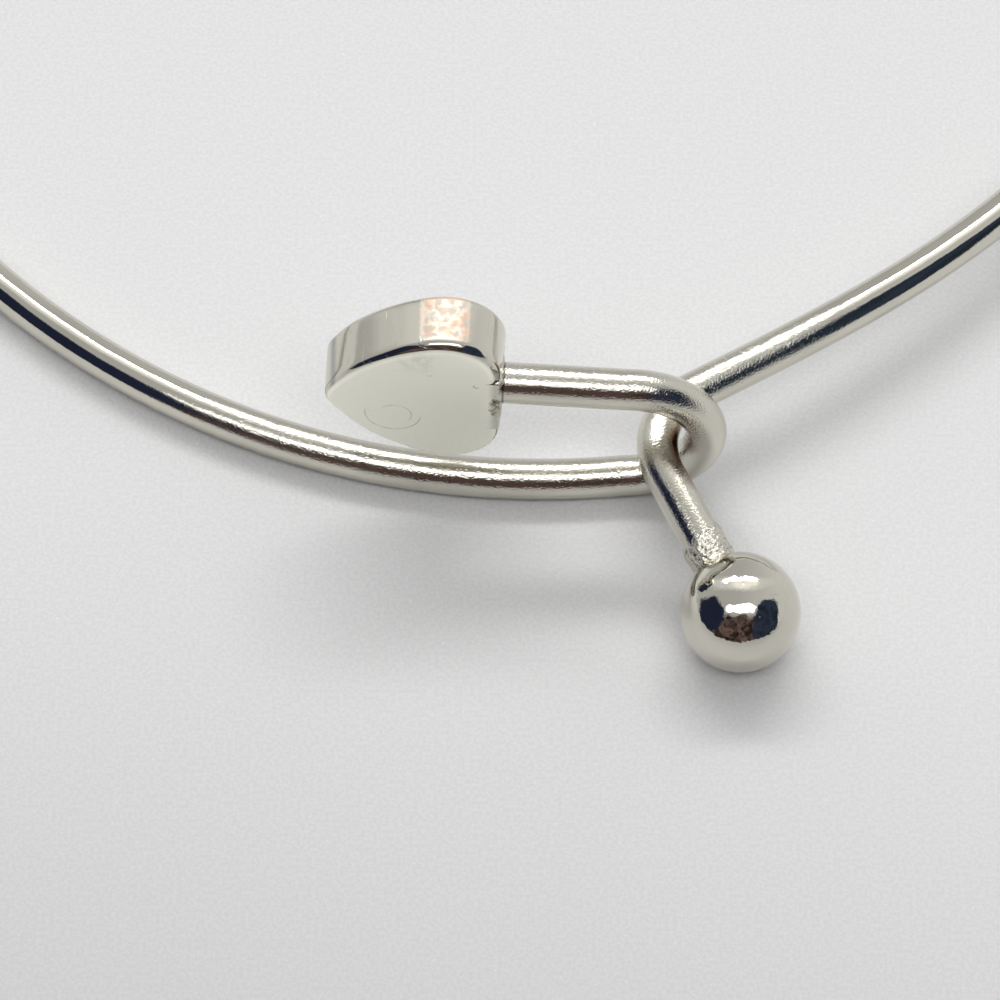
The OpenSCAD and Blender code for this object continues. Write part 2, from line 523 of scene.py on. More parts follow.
@dataclass(frozen=True)
class Metal:
    """Bright plated metal that the other metal finishes start from."""

    name: str
    light: Colour
    shade: Colour
    roughness: float

    def look(self, net: Net, at: Socket) -> dict[str, object]:
        """Look of the metal, with this finish's colour, roughness and relief.

        Args:
            net: Node tree of the finish.
            at: Place on the piece, in metres.

        Returns:
            Values of the shader's sockets.
        """
        return {
            "Base Color": self.colour(net, at),
            "Metallic": 1.0,
            "Roughness": self.dullness(net, at),
            "Normal": self.relief(net, at),
        }

    def colour(self, net: Net, at: Socket) -> Socket:
        """Base colour at a place on the piece, faintly clouded between light and shade."""
        return net.mix(net.noise(at, 3.0, 3.0).smooth(0.3, 0.7), self.shade, self.light)

    def dullness(self, net: Net, at: Socket) -> Number:
        """Roughness at a place on the piece, a little uneven."""
        return self.roughness * (0.8 + 0.4 * net.noise(at, 0.8, 3.0))

    def relief(self, net: Net, at: Socket) -> Socket:
        """Normal of the relief at a place on the piece."""
        raise NotImplementedError

    def bump(self, net: Net, height: Field, depth: float) -> Socket:
        """Normal of a relief whose heights from 0 to 1 stand for a depth in millimetres."""
        return net.node("ShaderNodeBump", None, {"Height": height, "Distance": depth * MM}).outputs[0]


@dataclass(frozen=True)
class GrainPatch:
    """Stretch of wire where the grain stands out: its middle, its end, where it is full, and its share."""

    middle: Triple
    end: float
    full: float
    share: float


@dataclass(frozen=True)
class PlatedWire(Metal):
    """Plated drawn wire: smooth round the ring, with a broken grain near the soldered closure."""

    seam_at: Vector
    seam_way: Vector
    seam_half: float = 0.09
    seam_reach: Reach = (1.6, 1.2)
    grime: Colour = (0.12, 0.11, 0.1)
    grime_share: float = 0.8
    # Painted shade: brown-dark spots in the crevice between the hook and the loop.
    hook_shade: Colour = (0.27, 0.17, 0.13)
    hook_shade_share: float = 0.85
    hook_shade_spots: tuple[Triple, ...] = ((8.85, -36.3, 4.4), (8.8, -37.4, 3.8), (9.05, -38.1, 3.9))
    hook_shade_reach: Reach = (1.0, 0.35)
    grain: float = 0.085
    grain_depth: float = 0.018
    ripple: float = 1.4
    ripple_depth: float = 0.02
    smooth_share: float = 0.12
    coarse: tuple[GrainPatch, ...] = (
        GrainPatch((2.0, -36.0, 3.0), 19.0, 11.0, 0.88),
        GrainPatch((13.0, -33.5, 4.5), 6.5, 2.5, 0.4),
    )

    def colour(self, net: Net, at: Socket) -> Socket:
        """Clouded plate, with painted brown shade in the crevice between hook and loop, and a dark crevice
        where it enters the heart.

        Args:
            net: Node tree of the finish.
            at: Place on the piece, in metres.

        Returns:
            The socket that gives the colour.
        """
        crevice = net.along(at, self.seam_at, self.seam_way).line(0.0, self.seam_half)
        near = net.apart(at, self.seam_at).smooth(*self.seam_reach)
        tone = super().colour(net, at)
        # Painted shade in the crevice between the hook and the loop.
        for place in self.hook_shade_spots:
            shaded = net.apart(at, Vector(place)).smooth(*self.hook_shade_reach)
            tone = net.mix(shaded * self.hook_shade_share, tone, self.hook_shade)
        return net.mix(crevice * near * self.grime_share, tone, self.grime)

    def relief(self, net: Net, at: Socket) -> Socket:
        """Orange-peel grain that fades with the distance from the closure, over long faint ripples.

        Args:
            net: Node tree of the finish.
            at: Place on the piece, in metres.

        Returns:
            The socket that gives the normal.
        """
        share = self.smooth_share
        for patch in self.coarse:
            near = net.apart(at, Vector(patch.middle)).smooth(patch.end, patch.full)
            share = near * patch.share + share
        peel = net.noise(at, self.grain, 2.0) * share
        ripple = net.noise(at, self.ripple, 1.0) * (self.ripple_depth / self.grain_depth)
        return self.bump(net, peel + ripple, self.grain_depth)


@dataclass(frozen=True)
class PolishedBall(Metal):
    """Mirror polish with a few long scratches, fine hairlines and a faint waviness.

    Each scratch runs between two directions from the ball's middle. Each set of hairlines has a turn, in
    radians, and a stretch along each axis.
    """

    centre: Vector
    radius: float
    scratches: tuple[tuple[Triple, Triple], ...] = (
        ((0.47, -0.165, 0.868), (0.91, -0.139, 0.391)),
        ((-0.22, -0.971, 0.046), (0.06, -0.963, 0.27)),
        ((-0.88, -0.42, 0.23), (-0.74, -0.68, 0.01)),
        ((-0.45, -0.88, 0.12), (-0.1, -0.98, 0.16)),
        ((0.3, -0.94, 0.15), (0.62, -0.78, 0.05)),
    )
    hairlines: tuple[tuple[Triple, Triple], ...] = (
        ((0.3, 0.2, 0.7), (1.4, 0.11, 1.4)),
        ((0.9, -0.4, -0.5), (0.11, 1.6, 1.6)),
    )
    scratch_half: float = 0.035
    scratch_depth: float = 0.003
    hair_depth: float = 0.0005
    wave: float = 1.6
    wave_depth: float = 0.03
    peel: float = 0.35
    peel_depth: float = 0.009

    def relief(self, net: Net, at: Socket) -> Socket:
        """Scratches and hairlines over the waviness.

        Args:
            net: Node tree of the finish.
            at: Place on the piece, in metres.

        Returns:
            The socket that gives the normal.
        """
        lines = 0.0
        for start, end in self.scratches:
            first, last = Vector(start).normalized(), Vector(end).normalized()
            cut = net.along(at, self.centre, first.cross(last).normalized()).line(0.0, self.scratch_half)
            middle = self.centre + self.radius * (first + last).normalized()
            reach = self.radius * (first - last).length / 2
            lines = cut * net.apart(at, middle).smooth(reach, reach * 0.8) + lines
        for turned, drawn in self.hairlines:
            hairs = net.noise(net.stretched(at, drawn, turned), 1.0, 2.0).smooth(0.6, 0.7)
            lines = hairs * (self.hair_depth / self.scratch_depth) + lines
        waves = net.noise(at, self.wave, 2.0) * (self.wave_depth / self.scratch_depth)
        waves = net.noise(at, self.peel, 2.0) * (self.peel_depth / self.scratch_depth) + waves
        return self.bump(net, waves - lines, self.scratch_depth)


@dataclass(frozen=True)
class Stroke:
    """A curved scratch on the heart's face: the side of a small circle that its mark covers."""

    x: float
    z: float
    radius: float
    side: tuple[float, float]
    half: float = 0.05
    strength: float = 0.6


@dataclass(frozen=True)
class PlatedHeart(Metal):
    """Cast and tumbled heart: a satin face with curved scratches, and a rim with a warm blush. The face is
    painted light: given a brighter colour than the rim, as a painted reflection of the bright table.

    A reach is where a mark ends and where it is full. A share is how much of it shows.
    """

    # Painted light: the face takes the brighter colour.
    face: Colour = FACE_PAINTED_LIGHT
    front: Vector = spot(-1.0, -36.75, 8.0)
    front_way: Vector = spot(-0.07, -0.998, 0.0)
    front_reach: Reach = (-0.02, 0.06)
    fleck: float = 0.4
    blush: Colour = (0.95, 0.6, 0.45)
    blush_at: Vector = spot(-1.33, -35.4, 12.3)
    blush_reach: Reach = (1.25, 0.8)
    blush_foot: Reach = (-1.0, -0.5)
    blush_behind: Reach = (-0.25, -0.6)
    blush_share: float = 0.1
    blush_flecked: float = 0.55
    satin: float = 0.55
    satin_fleck: float = 0.3
    satin_least: float = 0.65
    strokes: tuple[Stroke, ...] = (
        Stroke(-3.65, 7.05, 1.2, (-0.15, -1.0), 0.06),
        Stroke(-3.55, 7.0, 0.7, (0.6, 0.8), 0.05),
        Stroke(-0.05, 9.5, 0.12, (-0.7, -0.7), 0.05, 1.0),
        Stroke(-2.03, 10.2, 0.1, (0.0, -1.0), 0.04, 0.7),
    )
    # Painted shade near the top of the face, in this dark colour that the scratches and scribbles also
    # take.
    mark_and_shade: Colour = (0.42, 0.41, 0.37)
    face_shade_at: Vector = spot(-2.6, -36.8, 11.2)
    face_shade_reach: Reach = (1.3, 0.2)
    face_shade_share: float = 0.25
    scribble_at: Vector = spot(-5.6, -34.3, 9.4)
    scribble_reach: Reach = (1.0, 0.4)
    scribble_share: float = 0.7
    # Painted reflection: a dark band down the rim near the tip, standing in for the wire that the rim
    # mirrors.
    band: Colour = (0.33, 0.33, 0.33)
    wire_reflection_x: float = -6.17
    wire_reflection_half: float = 0.2
    wire_reflection_share: float = 0.9
    wave: float = 1.1
    wave_depth: float = 0.006
    ripple: float = 0.4
    ripple_share: float = 0.35
    hair_depth: float = 0.002

    def colour(self, net: Net, at: Socket) -> Socket:
        """Clouded plate with the blush, the scratches, scribbles and painted light: a brighter face with a
        painted shade near its top, and a painted reflection of the wire as a dark band down the rim.

        Args:
            net: Node tree of the finish.
            at: Place on the piece, in metres.

        Returns:
            The socket that gives the colour.
        """
        flecks = net.noise(at, self.fleck, 2.0).smooth(0.35, 0.65)
        blush = self.blushed(net, at) * (self.blush_share + self.blush_flecked * flecks)
        tone = net.mix(blush, super().colour(net, at), self.blush)
        front = net.along(at, self.front, self.front_way).smooth(*self.front_reach)
        scribble = net.noise(at, 0.35, 1.0, 1.5).line(0.5, 0.03)
        scribble = scribble * net.apart(at, self.scribble_at).smooth(*self.scribble_reach)
        tone = net.mix(scribble * self.scribble_share, tone, self.mark_and_shade)
        # Painted reflection of the wire: a dark band down the rim, kept off the face.
        band = net.along(at, self.wire_reflection_x * RIGHT, RIGHT).line(0.0, self.wire_reflection_half)
        tone = net.mix(band * (1.0 - front) * self.wire_reflection_share, tone, self.band)
        # Painted shade: a darker cloud near the top of the face.
        face_shade = net.apart(at, self.face_shade_at).smooth(*self.face_shade_reach) * flecks
        face = net.mix(face_shade * self.face_shade_share, self.face, self.mark_and_shade)
        for stroke in self.strokes:
            face = net.mix(self.scratch(net, at, stroke) * stroke.strength, face, self.mark_and_shade)
        # Painted light: the front face takes the painted brighter colour.
        return net.mix(front, tone, face)

    def blushed(self, net: Net, at: Socket) -> Field:
        """Soft band of blush over the top of the rim, short of the front's rounding.

        Args:
            net: Node tree of the finish.
            at: Place on the piece, in metres.

        Returns:
            Share of the blush, from 0 to 1.
        """
        across = net.maths("ABSOLUTE", net.along(at, self.blush_at, RIGHT))
        high = net.along(at, self.blush_at, UP)
        behind = net.along(at, self.front, self.front_way).smooth(*self.blush_behind)
        return across.smooth(*self.blush_reach) * high.smooth(*self.blush_foot) * behind

    def dullness(self, net: Net, at: Socket) -> Number:
        """Roughness, higher in small patches of the blush.

        Args:
            net: Node tree of the finish.
            at: Place on the piece, in metres.

        Returns:
            The roughness.
        """
        patches = net.noise(at, self.satin_fleck, 2.0).smooth(0.38, 0.62)
        patches = patches * (1.0 - self.satin_least) + self.satin_least
        return super().dullness(net, at) + self.blushed(net, at) * patches * self.satin

    def scratch(self, net: Net, at: Socket, stroke: Stroke) -> Field:
        """Broken part of a circle on the face.

        Args:
            net: Node tree of the finish.
            at: Place on the heart, in metres.
            stroke: Scratch to draw.

        Returns:
            Share of the scratch, from 0 to 1.
        """
        flat = net.vectors("MULTIPLY", at, (1.0, 0.0, 1.0)).outputs[0]
        middle = Vector((stroke.x, 0.0, stroke.z))
        side = Vector((stroke.side[0], 0.0, stroke.side[1])).normalized()
        fade = 0.3 * stroke.radius
        shown = net.along(flat, middle, side).smooth(-fade, fade)
        broken = 0.4 + 0.6 * net.noise(at, 0.5).smooth(0.35, 0.6)
        return net.apart(flat, middle).line(stroke.radius, stroke.half) * shown * broken

    def relief(self, net: Net, at: Socket) -> Socket:
        """Casting waves that run through the thickness, and hairlines.

        Args:
            net: Node tree of the finish.
            at: Place on the piece, in metres.

        Returns:
            The socket that gives the normal.
        """
        waves = net.noise(net.stretched(at, (1.0, 6.0, 1.0)), self.wave, 2.0)
        ripples = net.noise(net.stretched(at, (1.0, 9.0, 1.0)), self.ripple, 2.0)
        waves = ripples * self.ripple_share + waves
        hairs = net.noise(net.stretched(at, (1.0, 1.0, 0.08), (0.2, 0.5, 0.1)), 2.0, 1.0, 1.5)
        hairs = hairs.smooth(0.64, 0.7) * (self.hair_depth / self.wave_depth)
        return self.bump(net, waves - hairs, self.wave_depth)


@dataclass(frozen=True)
class PlatedSolder(Metal):
    """Plated solder: crinkled, with a grain that glitters."""

    grain: float = 0.16
    grain_depth: float = 0.06

    def crinkles(self, net: Net, at: Socket) -> Field:
        """Heights of the crinkles, over a finer grain."""
        return net.noise(at, self.grain, 3.0, 0.6)

    def relief(self, net: Net, at: Socket) -> Socket:
        """Crinkles all over."""
        return self.bump(net, self.crinkles(net, at), self.grain_depth)


@dataclass(frozen=True)
class NotchSolder(PlatedSolder):
    """Solder made flush with the heart by rubbing, given the heart face's painted brighter colour, and
    crinkled only at its outer edge.
    """

    # Painted light: the same brighter colour as the heart's face.
    face: Colour = FACE_PAINTED_LIGHT
    edge_from: Reach = (0.4, 0.75)

    def outer(self, net: Net, at: Socket) -> Field:
        """Share of the crinkled edge, from left to right."""
        return net.along(at, Vector(), RIGHT).smooth(*self.edge_from)

    def colour(self, net: Net, at: Socket) -> Socket:
        """The heart face's painted brighter colour, and plain plate at the edge."""
        return net.mix(self.outer(net, at), self.face, super().colour(net, at))

    def relief(self, net: Net, at: Socket) -> Socket:
        """Crinkles of the edge."""
        return self.bump(net, self.crinkles(net, at) * self.outer(net, at), self.grain_depth)


@dataclass
class Piece:
    """A piece of the bangle that rides on its body and stands for the solid."""

    line: CentreLine
    name: str
    slot: Slot
    finish: Metal

    def shape(self) -> Skin:
        """Points in millimetres and faces of the piece."""
        raise NotImplementedError

    def build(self) -> bpy.types.Object:
        """Makes the piece's mesh, dresses it and fixes it to its body.

        Returns:
            The finished object.
        """
        piece = make_mesh(self.name, *self.shape())
        self.dress(piece)
        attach(piece, BODY)
        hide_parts(NODE)
        return piece

    def dress(self, piece: bpy.types.Object) -> None:
        """Gives the piece its finish."""
        piece.data.materials.append(make_material(self.finish.name, self.finish.look))


@dataclass
class Wire(Piece):
    """The one length of round wire."""

    sides: int = 48

    def shape(self) -> Skin:
        """Sweeps the wire along its centre line."""
        return loft(sweep(self.line.points(), self.sides, lambda i, a: self.line.wire_r))


@dataclass
class Heart(Piece):
    """Thick flat heart whose two lobes meet in a shallow notch.

    In its own axes x runs from the lobes to the tip, y is depth towards the front, and z is across.
    """

    length: float = 7.7
    width: float = 8.7
    thick: float = 2.7
    lobe_r: float = 2.45
    tip_r: float = 1.2
    side_r: float = 7.5
    rim_r: float = 0.3
    worn_r: float = 0.47
    worn_least: float = 0.15
    worn_along: Reach = (6.0, 2.2)
    worn_up: Reach = (0.6, 1.6)
    roll: float = 1.0
    up: float = 0.1
    fill_r: float = 1.0
    wave: float = 0.03
    wave_inset: float = 0.6
    waves_each: float = 0.8
    waves_deep: float = 0.25
    waves_from: float = 7.0
    lean: float = 0.035
    flat_margin: float = 0.08
    middle_share: float = 0.42
    rim_steps: int = 8
    belt_steps: int = 8
    face_steps: int = 36
    arc_steps: tuple[int, int, int, int] = (14, 26, 44, 12)

    def arcs(self) -> list[tuple[Vector, float, float]]:
        """Upper half of the outline.

        Returns:
            For each point its arc's centre, its arc's radius, negative where it bends inwards, and
            its bearing in degrees.
        """
        tip = Vector((self.length - self.tip_r, 0.0, 0.0))
        lobe = Vector((self.lobe_r, self.width / 2 - self.lobe_r, 0.0))
        way = lobe - tip
        to_tip, to_lobe = self.side_r - self.tip_r, self.side_r - self.lobe_r
        along = (to_tip ** 2 - to_lobe ** 2 + way.length_squared) / (2 * way.length)
        off = math.sqrt(max(0.0, to_tip ** 2 - along ** 2))
        unit = way.normalized()
        side = tip + along * unit - off * Vector((unit.y, -unit.x, 0.0))
        to_fill = self.lobe_r + self.fill_r
        fill = Vector((self.lobe_r - math.sqrt(max(0.0, to_fill ** 2 - lobe.y ** 2)), 0.0, 0.0))
        tip_to, lobe_to = bearing(tip - side), bearing(lobe - side)
        fill_to = 360 + bearing(fill - lobe)
        stretches = (
            (tip, self.tip_r, 0.0, tip_to),
            (side, self.side_r, tip_to, lobe_to),
            (lobe, self.lobe_r, lobe_to, fill_to),
            (fill, -self.fill_r, fill_to, 180.0),
        )
        outline = [(tip, self.tip_r, 0.0)]
        for (centre, radius, start, end), steps in zip(stretches, self.arc_steps):
            outline += [(centre, radius, lerp(start, end, k / steps)) for k in range(1, steps + 1)]
        return outline

    def outline(self) -> list[tuple[Vector, Vector]]:
        """Whole outline.

        Returns:
            For each point its place, with x from lobes to tip and y across, and the way outwards.
        """
        half = [(centre + radius * turn(angle), turn(angle)) for centre, radius, angle in self.arcs()]
        lower = [(Vector((p.x, -p.y, 0.0)), Vector((o.x, -o.y, 0.0))) for p, o in half[-2:0:-1]]
        return half + lower

    def rounding(self, p: Vector) -> float:
        """Radius of the front rim, which is worn rounder along the top, most of all over the lobe."""
        worn = lerp(self.worn_least, 1.0, smooth(*self.worn_along, p.x)) * smooth(*self.worn_up, p.y)
        return lerp(self.rim_r, self.worn_r, worn)

    def wavy(self, p: Vector, depth: float, out: Vector) -> Vector:
        """Moves a point of the rim inwards by the casting's waves and its lean.

        Args:
            p: Point of the outline, with x from lobes to tip and y across.
            depth: How far the point lies towards the front.
            out: Way outwards from the outline.

        Returns:
            The moved point in the heart's own axes.
        """
        across = p.y * self.waves_each + self.waves_from
        at = Vector((p.x * self.waves_each, depth * self.waves_deep, across))
        wave = self.wave * (noise.noise(at) - self.wave_inset)
        wave -= self.lean * (depth + self.thick / 2)
        return Vector((p.x, depth, p.y)) + wave * Vector((out.x, 0.0, out.y))

    def shape(self) -> Skin:
        """Builds the heart from its middle outwards, over the rim and back to the other middle.

        Returns:
            The piece's points, in millimetres, and its faces.
        """
        edge = self.outline()
        half = self.thick / 2
        middle = Vector((self.length * self.middle_share, 0.0, 0.0))
        rows = []
        for share in [k / self.face_steps for k in range(1, self.face_steps)]:
            inset = [p - o * (self.rounding(p) + self.flat_margin) for p, o in edge]
            drawn = [middle + (p - middle) * share for p in inset]
            rows.append([Vector((p.x, half, p.y)) for p in drawn])
        for k in range(self.rim_steps + 1):
            rise, run = rounded(k, self.rim_steps)
            rows.append([
                self.wavy(p - o * self.rounding(p) * run, half - self.rounding(p) * rise, o)
                for p, o in edge
            ])
        for k in range(1, self.belt_steps):
            share = k / self.belt_steps
            rows.append([
                self.wavy(p, lerp(half - self.rounding(p), self.rim_r - half, share), o)
                for p, o in edge
            ])
        for k in range(self.rim_steps, -1, -1):
            rise, run = rounded(k, self.rim_steps)
            rows.append([self.wavy(p - o * self.rim_r * run, self.rim_r * rise - half, o) for p, o in edge])
        for share in [k / self.belt_steps for k in range(self.belt_steps - 1, 0, -1)]:
            drawn = [middle + (p - o * self.rim_r - middle) * share for p, o in edge]
            rows.append([Vector((p.x, -half, p.y)) for p in drawn])
        return self.placed(rows)

    def placed(self, rows: Sequence[Sequence[Vector]]) -> Skin:
        """Joins rows and puts them in place at the end of the upper leg.

        Args:
            rows: Closed rows of points in the heart's own axes.

        Returns:
            The piece's points, in millimetres, and its faces.
        """
        place = (
            Matrix.Translation(self.line.heart_at + self.up * UP)
            @ Matrix.Rotation(math.radians(180 - self.line.upper_turn), 4, "Z")
            @ Matrix.Rotation(math.radians(-self.roll), 4, "Y")
        )
        points, faces = loft(rows)
        return [place @ p for p in points], faces


@dataclass
class HeartSolder(Piece):
    """Solder that fills the notch between the heart's lobes, right through its thickness.

    Its front and back are flat and flush with the heart, and its outer side is lumpy.
    """

    heart: Heart
    reach: float = 1.7
    swell: float = 0.13
    lump: float = 0.13
    inside: float = 0.4
    proud: float = 0.004
    sunk: float = 0.04
    taper_from: float = 0.55
    corner: float = 0.5
    flat: float = 1.25
    lumps_each: float = 4.5
    rows: int = 110
    sides: int = 110

    def notch(self, across: float) -> float:
        """How deep the bare notch lies.

        Args:
            across: Distance from the notch's middle, across the heart.

        Returns:
            The depth, measured from the lobes' outer side towards the tip.
        """
        lobe_r, fill_r = self.heart.lobe_r, self.heart.fill_r
        lobe_z = self.heart.width / 2 - lobe_r
        fill_x = lobe_r - math.sqrt((lobe_r + fill_r) ** 2 - lobe_z ** 2)
        touch = lobe_z * fill_r / (lobe_r + fill_r)
        if abs(across) < touch:
            return fill_x + math.sqrt(fill_r ** 2 - across ** 2)
        return lobe_r - math.sqrt(lobe_r ** 2 - (abs(across) - lobe_z) ** 2)

    def shape(self) -> Skin:
        """Builds a saddle of closed rounds, one for each step across the notch.

        Returns:
            The piece's points, in millimetres, and its faces.
        """
        half = self.heart.thick / 2
        rows = []
        for i in range(self.rows + 1):
            across = lerp(-self.reach, self.reach, i / self.rows)
            swell = self.swell * smooth(self.reach, self.reach * self.taper_from, abs(across)) - self.sunk
            deep = self.inside + swell
            row = []
            for k in range(self.sides):
                a = 360.0 * k / self.sides
                out = turn(a)
                aside = math.copysign(abs(out.x) ** self.corner, out.x)
                ahead = math.copysign(min(1.0, abs(out.y) * self.flat) ** self.corner, out.y)
                x = self.notch(across) + self.inside - deep * aside
                p = Vector((x, (half + self.proud) * ahead, across))
                rough = noise.fractal(p * self.lumps_each, 0.9, 2.0, 4)
                rough = rough * self.lump * (swell + self.sunk) / self.swell
                row.append(p - rough * smooth(-0.1, 0.7, out.x) * Vector((out.x, -0.3 * out.y, 0.0)))
            rows.append(row)
        return self.heart.placed(rows)


@dataclass(frozen=True)
class Pit:
    """A small pit in the ball: its direction from the ball's middle, its radius and its depth."""

    way: Triple
    radius: float
    depth: float


@dataclass
class Ball(Piece):
    """Round ball on the hook's end, with a few small pits."""

    level: int = 7
    pits: tuple[Pit, ...] = (
        Pit((-0.77, -0.638, 0.0), 0.13, 0.03),
        Pit((-0.11, -0.258, 0.96), 0.07, 0.012),
        Pit((0.25, -0.552, 0.795), 0.06, 0.012),
        Pit((0.55, -0.74, 0.39), 0.06, 0.012),
        Pit((-0.42, -0.87, 0.1), 0.07, 0.012),
        Pit((-0.55, 0.05, 0.83), 0.07, 0.014),
        Pit((0.0, -0.05, 0.99), 0.06, 0.01),
    )

    def shape(self) -> Skin:
        """Divides an icosahedron into a sphere and presses the pits in.

        Returns:
            The piece's points, in millimetres, and its faces.
        """
        round_points, faces = even_sphere(self.level, self.line.ball_d / 2)
        spots = [(Vector(pit.way).normalized(), pit.radius, pit.depth) for pit in self.pits]
        points = []
        for p in round_points:
            press = sum(deep * math.exp(-((p - way * p.length).length / r) ** 2) for way, r, deep in spots)
            points.append(self.line.ball_at + p * (1 - press / p.length))
        return points, faces


@dataclass
class BallSolder(Piece):
    """Crinkled crust round the wire where it enters the ball."""

    crust_t: float = 0.1
    crust_l: float = 1.1
    slant: float = 0.3
    feather: Reach = (-0.2, 0.3)
    ragged: float = 0.25
    rags_each: float = 1.7
    even_share: float = 0.75
    lump: float = 0.05
    lumps_each: float = 2.6
    crinkle: float = 0.045
    crinkles_each: float = 8.0
    bare_l: float = 0.3
    buried_l: float = 0.35
    sunk: float = 0.03
    sides: int = 120
    step: float = 0.022

    def shape(self) -> Skin:
        """Sweeps an uneven collar along the end of the stem.

        Returns:
            The piece's points, in millimetres, and its faces.
        """
        line = self.line
        joint = line.stem_l - line.ball_d / 2
        bare = joint - self.crust_l
        start, end = bare - self.bare_l, joint + self.buried_l
        count = round((end - start) / self.step)
        stops = [lerp(start, end, k / count) for k in range(count + 1)]
        path = [line.stem_at(d) for d in stops]

        def radius(i: int, angle: float) -> float:
            """Feathers out towards the bare wire and swells towards the ball.

            Args:
                i: Number of the section.
                angle: Angle round it, in degrees.

            Returns:
                The collar's radius there.
            """
            way = turn(angle)
            round_at = Vector((way.x, way.y, stops[i] / line.wire_r))
            ragged = self.ragged * noise.noise(round_at * self.rags_each) - self.slant * way.x
            thin, full = (bare + d + ragged for d in self.feather)
            swell = smooth(thin, full, stops[i])
            lumps = self.lump * noise.fractal(round_at * self.lumps_each, 0.9, 2.0, 3)
            crinkled_at = round_at * self.crinkles_each + 5.0 * RIGHT
            crinkles = self.crinkle * noise.fractal(crinkled_at, 0.8, 2.0, 3)
            crust = self.sunk + self.crust_t * self.even_share + lumps + crinkles
            return line.wire_r - self.sunk + swell * crust

        return loft(sweep(path, self.sides, radius))


@dataclass
class Bangle:
    """The whole bangle, in the order in which its pieces are made."""

    line: CentreLine = field(default_factory=CentreLine)

    def pieces(self) -> list[Piece]:
        """Lists every piece with its finish.

        Returns:
            The pieces, in the order in which they are made.
        """
        line = self.line
        tone = (SILVER_LIGHT, SILVER_SHADE)
        wire = PlatedWire("plated wire", *tone, 0.055, line.heart_at, line.leg_way)
        ball = PolishedBall("plated ball", *tone, 0.04, line.ball_at, line.ball_d / 2)
        heart = Heart(line, "heart", Slot.HEART, PlatedHeart("plated heart", *tone, 0.1))
        return [
            Wire(line, "wire", Slot.WIRE, wire),
            heart,
            Ball(line, "ball", Slot.BALL, ball),
            HeartSolder(line, "heart_solder", Slot.SOLDER, NotchSolder("notch solder", *tone, 0.11), heart),
            BallSolder(line, "ball_solder", Slot.SOLDER, PlatedSolder("crust solder", *tone, 0.14)),
        ]

    def build(self) -> None:
        """Builds and reports each piece."""
        for piece in self.pieces():
            made = piece.build()
            LOG.info("%s: %d faces", made.name, len(made.data.polygons))


@dataclass(frozen=True)
class Card:
    """A soft-edged patch of the studio's surround, placed as a mirror ball shows it.

    across and up run from -1 to 1 over the ball's disc as seen from the side of the photograph.
    mottle is the share of its light that darker patches take away.
    """

    across: float
    up: float
    half_w: float
    half_h: float
    colour: Colour
    edge: float = 0.12
    square: bool = False
    mottle: float = 0.0


